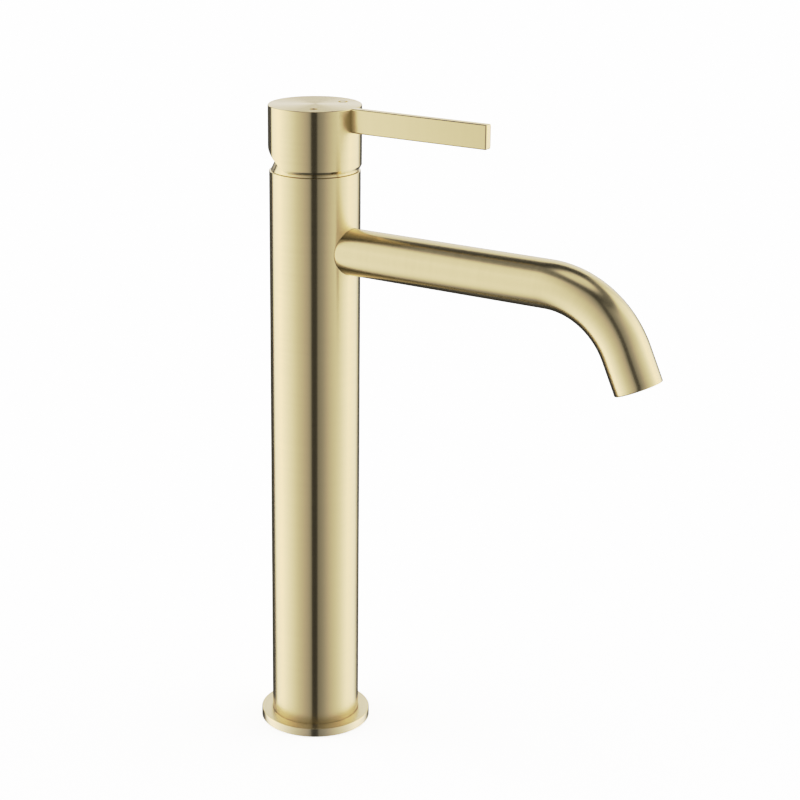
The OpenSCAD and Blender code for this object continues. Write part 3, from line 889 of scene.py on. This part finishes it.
def lever_bar():
    """The bar lever on edge, with softly rounded long edges and a rounded end."""
    start = cap_r - CAP_WALL / 2
    edge, edge_steps = 0.8 * MM, 4
    half = LEVER_W / 2
    foot = cap_top - LEVER_H
    corners = [(-half, foot, edge), (half, foot, edge), (half, cap_top, edge), (-half, cap_top, edge)]
    bar = prism("bar", outline_of(corners, edge_steps), start, lever_reach, (1, 2, 0))
    shape = bmesh.new()
    shape.from_mesh(bar.data)
    end = [e for e in shape.edges if all(v.co.x > lever_reach - TINY for v in e.verts)]
    rounding = {"offset": edge, "segments": edge_steps, "profile": 0.5, "affect": "EDGES"}
    bmesh.ops.bevel(shape, geom=end, clamp_overlap=True, **rounding)
    shape.to_mesh(bar.data)
    shape.free()
    return bar


def notch_cutter():
    """All that lies under the sloping plane at the cap's back."""
    beyond = 20 * MM
    back, below = -2 * cap_r, cap_foot - beyond
    rise = column_top + NOTCH_RISE
    top_back = rise - back * tan(NOTCH_SLOPE)
    front = (rise - below) / tan(NOTCH_SLOPE)
    outline = [(back, below), (front, below), (back, top_back)]
    return prism("notch", outline, -2 * cap_r, 2 * cap_r, (0, 2, 1))


def mark_cutters():
    """The engraved marks: a dot for hot and a ring for cold."""
    deep, above = cap_top - MARK_DEPTH, cap_top + MARK_DEPTH
    dot_r, inner = 0.8 * MARK_R, 0.6 * MARK_R
    dot = pin("hot", dot_r, deep, above, around=40)
    ring = turned("cold", [(inner, deep), (MARK_R, deep), (MARK_R, above), (inner, above)], around=40)
    placed(dot, Matrix.Translation((MARK_X, -MARK_Y, 0)))
    placed(ring, Matrix.Translation((MARK_X, MARK_Y, 0)))
    return [dot, ring]


def handle_piece():
    """Cap and bar lever in one piece, with its notch, marks, stem socket and screw hole."""
    cap = combined(cap_blank(), [lever_bar()], "UNION")
    half = SOCKET_HALF
    socket = box_between("socket", (-half, -half, cap_foot), (half, half, cap_top - SOCKET_ROOF))
    # The screw's holes are turned a little, so that none of their points meets a point of the cap.
    off_seam = Matrix.Rotation(radians(1.3), 4, "Z")
    back = Matrix.Translation((0, 0, screw_axis)) @ Matrix.Rotation(-pi / 2, 4, "Y") @ off_seam
    past = 1 * MM
    thread = placed(pin("thread", SCREW_R + SCREW_FIT, 0, BOSS_R + past), back)
    access = placed(pin("access", ACCESS_R, cap_bore - past, cap_r + past), back)
    combined(cap, [notch_cutter(), *mark_cutters(), socket, thread, access])
    cap.data.materials.clear()
    cap.data.materials.append(FINISHES["brushed_brass"])
    cap.data.materials.append(LEVER_BRASS)
    for face in cap.data.polygons:
        face.material_index = int(face.center.x > cap_r)
    return finished(cap, "lever", "brushed_brass", "handle", buffed=True)


def plug_piece():
    """The small plug over the set screw: its face follows the cap's wall."""
    radius = ACCESS_R - SCREW_FIT
    inside, edge = 0.5 * MM, 0.2 * MM
    deep = cap_bore - inside
    face_rings = [(share * radius, cap_r) for share in (0.7, 0.35, 0)]
    corners = [(0, deep), (radius, deep, edge), (radius, cap_r, edge), *face_rings]
    plug = turned("screw_plug", corners, around=64)
    for vertex in plug.data.vertices:
        share = (vertex.co.z - deep) / (cap_r - deep)
        vertex.co.z -= share * (cap_r - sqrt(cap_r ** 2 - vertex.co.y ** 2))
    placed(plug, Matrix.Translation((0, 0, screw_axis)) @ Matrix.Rotation(-pi / 2, 4, "Y"))
    return finished(plug, "lever", "brushed_brass", "handle_screw_plug")


STEM_OPENING = 13.2 * MM
CONE_SLOPE = radians(25)
NUT_SLOTS = 6


def trim_ring_piece():
    """The conical ring that covers the cartridge nut, with the groove for its O-ring under it."""
    low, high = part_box("trim_ring")
    foot_r, foot, top = high.y, low.z, high.z
    top_r = foot_r - (top - foot) * tan(CONE_SLOPE)
    nut_room_r, nut_room_h = 18.55 * MM, 4.5 * MM
    nut_room_top = foot + nut_room_h
    seal_low, seal_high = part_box("trim_o_ring")
    gap = seal_low.z - foot
    room = 3 * gap
    groove_out, groove_top = seal_high.y + room, seal_high.z + room
    groove_in = seal_high.y - (seal_high.z - seal_low.z) - room
    corners = [
        (nut_room_r, foot),
        (groove_in, foot),
        (groove_in, groove_top),
        (groove_out, groove_top),
        (groove_out, foot),
        (foot_r, foot, 0.2 * MM),
        (top_r, top, 0.4 * MM),
        (STEM_OPENING, top, 0.3 * MM),
        (STEM_OPENING, nut_room_top),
        (nut_room_r, nut_room_top),
    ]
    return finished(turned("trim_cone", corners), "column", "brushed_brass", "trim_ring", buffed=True)


def nut_piece():
    """The slotted nut that holds the cartridge down."""
    low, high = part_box("retaining_nut")
    radius, bore = high.y, STEM_OPENING
    edge = 0.4 * MM
    corners = [(bore, low.z, edge), (radius, low.z, edge), (radius, high.z, edge), (bore, high.z, edge)]
    nut = turned("cartridge_nut", corners, around=144)
    half, deep, inwards = 1.5 * MM, 2 * MM, 3 * MM
    slot_low = (radius - inwards, -half, high.z - deep)
    slot_high = (radius + half, half, high.z + half)
    slots = []
    for step in range(NUT_SLOTS):
        slot = box_between("slot", slot_low, slot_high)
        slots.append(placed(slot, Matrix.Rotation(2 * pi * step / NUT_SLOTS, 4, "Z")))
    combined(nut, slots)
    return finished(nut, "column", "bare_brass", "retaining_nut")


def inner_parts():
    """Gives every CAD node that stays in sight the finish of its slot."""
    for entry in frame["record"]["subparts"]:
        node, slot = entry.get("node"), entry.get("material_slot")
        if node in frame["nodes"] and slot in FINISHES:
            mesh = frame["nodes"][node].data
            mesh.materials.clear()
            mesh.materials.append(FINISHES[slot])


# ---------------------------------------------------------------- floor, light and camera

CAMERA_PLACE = Vector((0.5679, -0.8219, 0.5002))
CAMERA_TILT = radians(90 - 16.74)
CAMERA_TURN = radians(34.44)
CAMERA_LENS = 93.17
CAMERA_SENSOR = 36
CAMERA_SHIFT = (0.0973, -0.0595)


def camera():
    """A long lens that looks down a little at the whole mixer."""
    data = bpy.data.cameras.new("camera")
    data.sensor_width = CAMERA_SENSOR
    data.lens = CAMERA_LENS
    data.shift_x, data.shift_y = CAMERA_SHIFT
    eye = bpy.data.objects.new("camera", data)
    eye.location = CAMERA_PLACE
    eye.rotation_euler = (CAMERA_TILT, 0, CAMERA_TURN)
    bpy.context.scene.collection.objects.link(eye)
    bpy.context.scene.camera = eye


WHITE = (1, 1, 1, 1)
FLOOR_DARKER = (0.86, 0.86, 0.86, 1)
FLOOR_LIGHTER = (0.88, 0.88, 0.88, 1)


def floor():
    """A wide pale floor with one face, seen from above only, that throws no light into the metal."""
    reach, sunk, speck_scale = 30.0, 0.2 * MM, 40.0
    shape = bmesh.new()
    corners = [(-reach, -reach, -sunk), (reach, -reach, -sunk), (reach, reach, -sunk), (-reach, reach, -sunk)]
    shape.faces.new([shape.verts.new(corner) for corner in corners])
    ground = object_of("floor", shape)
    material = bpy.data.materials.new("pale_floor")
    material.use_nodes = True
    tree = Tree(material.node_tree)
    speck = tree.noise(tree.place(), speck_scale, detail=3.0)
    colour = tree.blend(speck, FLOOR_DARKER, FLOOR_LIGHTER)
    matt = tree.add("ShaderNodeBsdfDiffuse", inputs={"Color": colour})
    glow = tree.add("ShaderNodeEmission", inputs={"Color": WHITE, "Strength": 1.0})
    lit = tree.add("ShaderNodeAddShader", inputs={0: matt, 1: glow})
    clear = tree.add("ShaderNodeBsdfTransparent")
    under = tree.add("ShaderNodeNewGeometry", output="Backfacing")
    surface = tree.add("ShaderNodeMixShader", inputs={0: under, 1: lit, 2: clear})
    tree.add("ShaderNodeOutputMaterial", inputs={"Surface": surface})
    material.cycles.emission_sampling = "NONE"
    ground.data.materials.append(material)
    ground.visible_glossy = False
    ground.visible_diffuse = False


# The side panels' light by bearing: (degrees from the camera, brightness).
PANELS = (
    (-180, 0.02), (-136, 0.02), (-129, 1.7), (-100, 1.9), (-63, 1.25), (-44, 0.88),
    (-17, 0.52), (-10.5, 0.36), (-9, 0.03), (4.5, 0.03), (7, 0.27), (20, 0.43),
    (35, 0.68), (67, 1.18), (95, 1.8), (128, 1.62), (142, 0.8), (147, 0.05), (180, 0.02),
)
# The share of it at each height: (degrees above level, share).
PANEL_HEIGHT = (
    (-90, 0.1), (-62, 0.1), (-55, 0.4), (-48, 0.7), (-40, 0.88), (-28, 1.0), (20, 1.0),
    (28, 0.9), (38, 0.8), (48, 0.72), (52.5, 0.5), (57, 0.1), (90, 0.08),
)
# The brightness that white stands for in the panels' ramp.
BRIGHTEST = 2.0
# Where the other lights begin and end, in degrees, and how bright they are.
OVERHEAD, OVERHEAD_LEVEL = (68.0, 78.0), 0.9
BEHIND = (136.0, 150.0)
BACKDROP_FOOT, BACKDROP_TOP, BACKDROP_LEVEL = (-3.0, 4.0), (42.0, 48.0), 1.08
BELOW, BELOW_LEVEL = (-60.0, -50.0), 0.12
ROOM_LEVEL = 0.03
# The plain background that the camera sees.
SEEN_LEVEL = 2.0


def ramp_over(tree, angle, span, stops):
    """The level at an angle, from stops that cover a span of degrees with 0 in its middle."""
    half = span / 2
    places = [((stop + half) / span, level) for stop, level in stops]
    ramp = tree.add("ShaderNodeValToRGB", {"stops": places}, {"Fac": (angle + half) / span})
    return tree.add("ShaderNodeRGBToBW", inputs={0: ramp})


def studio_light():
    """Two tall side panels with a narrow dark gap at the camera, a pale backdrop and a dark shelf behind."""
    world = bpy.data.worlds.new("studio")
    world.use_nodes = True
    bpy.context.scene.world = world
    tree = Tree(world.node_tree)
    x, y, z = tree.split(tree.add("ShaderNodeTexCoord", output="Generated"))
    facing = Vector((CAMERA_PLACE.x, CAMERA_PLACE.y)).normalized()
    ahead = x * facing.x + y * facing.y
    aside = y * facing.x - x * facing.y
    bearing = aside.math("ARCTAN2", ahead) * degrees(1)
    height = z.math("ARCSINE") * degrees(1)
    dimmed = [(angle, level / BRIGHTEST) for angle, level in PANELS]
    panels = ramp_over(tree, bearing, 360, dimmed) * BRIGHTEST
    reach = ramp_over(tree, height, 180, PANEL_HEIGHT)
    overhead = height.step(*OVERHEAD) * OVERHEAD_LEVEL
    behind = bearing.math("ABSOLUTE").step(*BEHIND)
    backdrop = behind * height.step(*BACKDROP_FOOT) * (1 - height.step(*BACKDROP_TOP)) * BACKDROP_LEVEL
    below = behind * (1 - height.step(*BELOW)) * BELOW_LEVEL
    level = panels * reach + overhead + backdrop + below + ROOM_LEVEL
    studio = tree.add("ShaderNodeBackground", inputs={"Color": WHITE, "Strength": level})
    plain = tree.add("ShaderNodeBackground", inputs={"Color": WHITE, "Strength": SEEN_LEVEL})
    seen = tree.add("ShaderNodeLightPath", output="Is Camera Ray")
    both = tree.add("ShaderNodeMixShader", inputs={0: seen, 1: studio, 2: plain})
    tree.add("ShaderNodeOutputWorld", inputs={0: both})


# The film's curve: the light that gives pure white, (light, tone) pairs and the number of its combined curve.
FILM_WHITE = 1.7
FILM_TONES = ((0.25, 0.25), (0.55, 0.55), (1.12, 0.84), (1.34, 0.93))
COMBINED = 3


def film():
    """A soft shoulder on the brightest tones, as on film."""
    view = bpy.context.scene.view_settings
    view.view_transform = "Standard"
    view.use_curve_mapping = True
    mapping = view.curve_mapping
    mapping.white_level = (FILM_WHITE, FILM_WHITE, FILM_WHITE)
    curve = mapping.curves[COMBINED]
    for light, tone in FILM_TONES:
        curve.points.new(light / FILM_WHITE, tone)
    mapping.update()


camera()
floor()
studio_light()
film()
column_piece()
flange_piece()
gasket_piece()
foot_plug_piece()
spout_piece()
aerator_housing_piece()
aerator_core_piece()
aerator_screen_piece()
handle_piece()
plug_piece()
trim_ring_piece()
nut_piece()
inner_parts()
